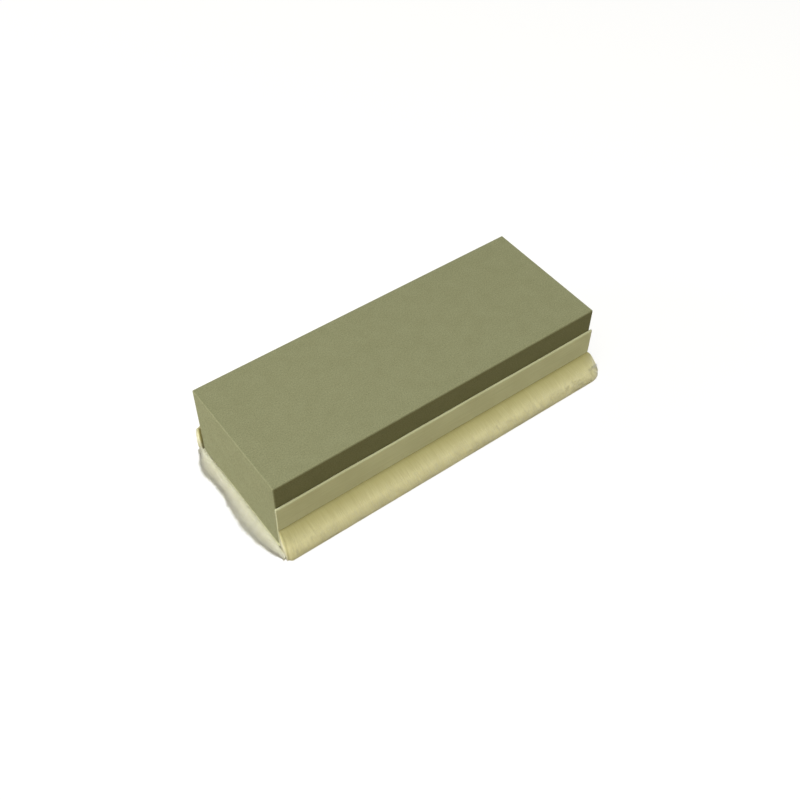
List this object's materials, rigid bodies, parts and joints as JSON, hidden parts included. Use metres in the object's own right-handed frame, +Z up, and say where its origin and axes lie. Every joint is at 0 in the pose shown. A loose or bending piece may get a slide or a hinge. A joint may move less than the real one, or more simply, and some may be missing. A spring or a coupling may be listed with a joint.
{
  "type": "sharpening whetstone",
  "caption": "Rectangular grey-green bench whetstone standing in a strip of cream pile fabric that is glued under it and up both long sides.",
  "frame": {"origin": "on the resting surface, below the middle of the object", "axes": "+X along the length of the stone, +Y across it, +Z up to the honing face"},
  "size_m": [0.219, 0.0928, 0.052],
  "materials": {
    "stone": "fine, even, matt",
    "adhesive": "thin dried contact adhesive",
    "cloth": "close woven backing cloth",
    "pile": "silky combed pile with a soft sheen"
  },
  "bodies": {
    "root": {"stone_block": "stone", "adhesive_film": "adhesive", "backing_cloth": "cloth", "pile": "pile"}
  },
  "joints": []
}
